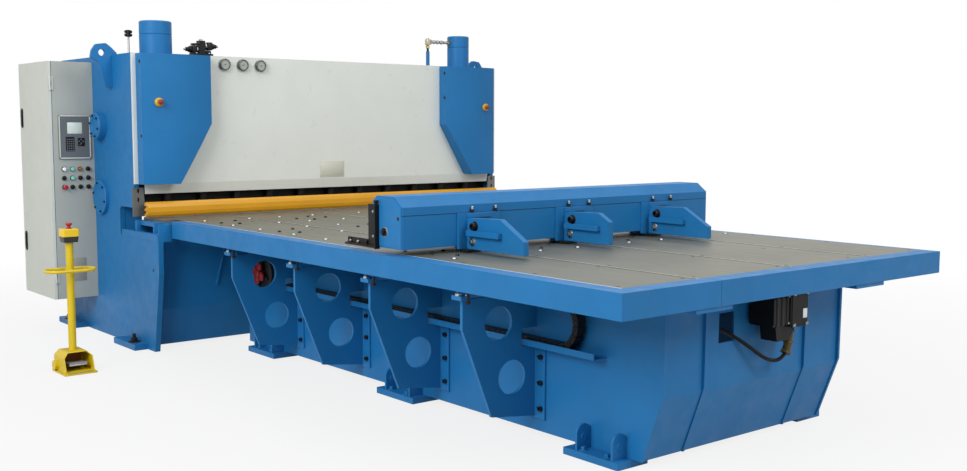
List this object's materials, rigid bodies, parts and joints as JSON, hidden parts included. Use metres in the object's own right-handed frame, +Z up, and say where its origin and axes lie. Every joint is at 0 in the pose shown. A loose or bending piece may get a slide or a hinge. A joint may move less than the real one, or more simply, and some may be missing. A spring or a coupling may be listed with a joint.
{
  "type": "hydraulic guillotine shear",
  "caption": "Hydraulic guillotine shear with a gauge beam on a long front table, a control cabinet and a foot pedal stand.",
  "frame": {"origin": "on the floor, at the centre of the shear's four anchor bolts", "axes": "+X along the cut to the right as the operator sees it, +Y from the operator to the rear, +Z up"},
  "size_m": [4.66, 6.58, 2.558],
  "materials": {
    "machine_blue": "smooth blue machine enamel",
    "fascia_white": "smooth off-white enamel",
    "cabinet_grey": "fine textured light grey powder coat",
    "guard_yellow": "smooth golden yellow enamel",
    "stand_yellow": "glossy yellow enamel",
    "dark_paint": "black paint",
    "table_steel": "ground and oiled steel plate",
    "bare_steel": "plain grey steel",
    "blade_steel": "ground tool steel",
    "chrome_rod": "hard chrome",
    "gauge_metal": "polished bezel",
    "conduit_brown": "ribbed olive brown conduit",
    "black_plastic": "black plastic",
    "signal_yellow": "yellow plastic collar with a red head",
    "stop_red": "red plastic",
    "pedal_grey": "cast grey pedal"
  },
  "bodies": {
    "machine": {"left_side_frame": "machine_blue", "right_side_frame": "machine_blue", "bed": "machine_blue", "bed_plates": "table_steel", "lower_blade": "blade_steel", "front_fascia": "fascia_white", "front_beam": "dark_paint", "left_cylinder_cover": "machine_blue", "right_cylinder_cover": "machine_blue", "emergency_stops": "signal_yellow", "pressure_gauges": "gauge_metal", "top_plate": "machine_blue", "rear_tie_beams": "machine_blue", "cylinders": "machine_blue", "ram_guides": "dark_paint", "lifting_lugs": "machine_blue", "side_discs": "machine_blue", "finger_guard": "guard_yellow", "guard_brackets": "bare_steel", "hydraulic_fittings": "black_plastic", "left_rail": "machine_blue", "right_rail": "machine_blue", "front_rail": "machine_blue", "front_deck": "table_steel", "rear_deck": "table_steel", "cross_beams": "machine_blue", "slot_bars": "machine_blue", "table_base": "machine_blue", "base_front_panels": "machine_blue", "left_gussets": "machine_blue", "right_gussets": "machine_blue", "foot_plates": "machine_blue", "cable_tray": "machine_blue", "cable_chain": "black_plastic", "servo_motor": "dark_paint", "motor_cable": "conduit_brown", "cabinet_body": "cabinet_grey", "door_hinges": "black_plastic", "control_panel": "black_plastic", "push_buttons": "black_plastic", "stand_hood": "stand_yellow", "stand_post": "stand_yellow", "stop_box": "stand_yellow", "stop_button": "stop_red"},
    "gauge_beam": {"beam_body": "machine_blue", "beam_cover": "machine_blue", "gauge_arms": "machine_blue", "arm_feet": "black_plastic", "side_bracket": "dark_paint"},
    "ram": {"ram": "machine_blue", "upper_blade": "blade_steel", "piston_rods": "chrome_rod"},
    "hold_downs": {"hold_down_pads": "blade_steel"},
    "cabinet_door": {"cabinet_door": "cabinet_grey", "door_latches": "black_plastic"},
    "foot_pedal": {"foot_pedal": "pedal_grey"}
  },
  "joints": [
    {"name": "beam_slide", "type": "slide", "parent": "machine", "child": "gauge_beam", "axis": [0, 1, 0], "range_m": [-1, 2.4]},
    {"name": "ram_slide", "type": "slide", "parent": "machine", "child": "ram", "axis": [0, 0, 1], "range_m": [-0.12, 0]},
    {"name": "hold_down_slide", "type": "slide", "parent": "machine", "child": "hold_downs", "axis": [0, 0, 1], "range_m": [-0.028, 0]},
    {"name": "door_hinge", "type": "hinge", "parent": "machine", "child": "cabinet_door", "pos_m": [-2.146, 0.151, 1.2575], "axis": [0, 0, 1], "range_deg": [0, 110]},
    {"name": "pedal_hinge", "type": "hinge", "parent": "machine", "child": "foot_pedal", "pos_m": [-2.513, -1.19, 0.048], "axis": [1, 0, 0], "range_deg": [0, 8], "stiffness_Nm_per_rad": 14, "springref_deg": -6.88}
  ]
}
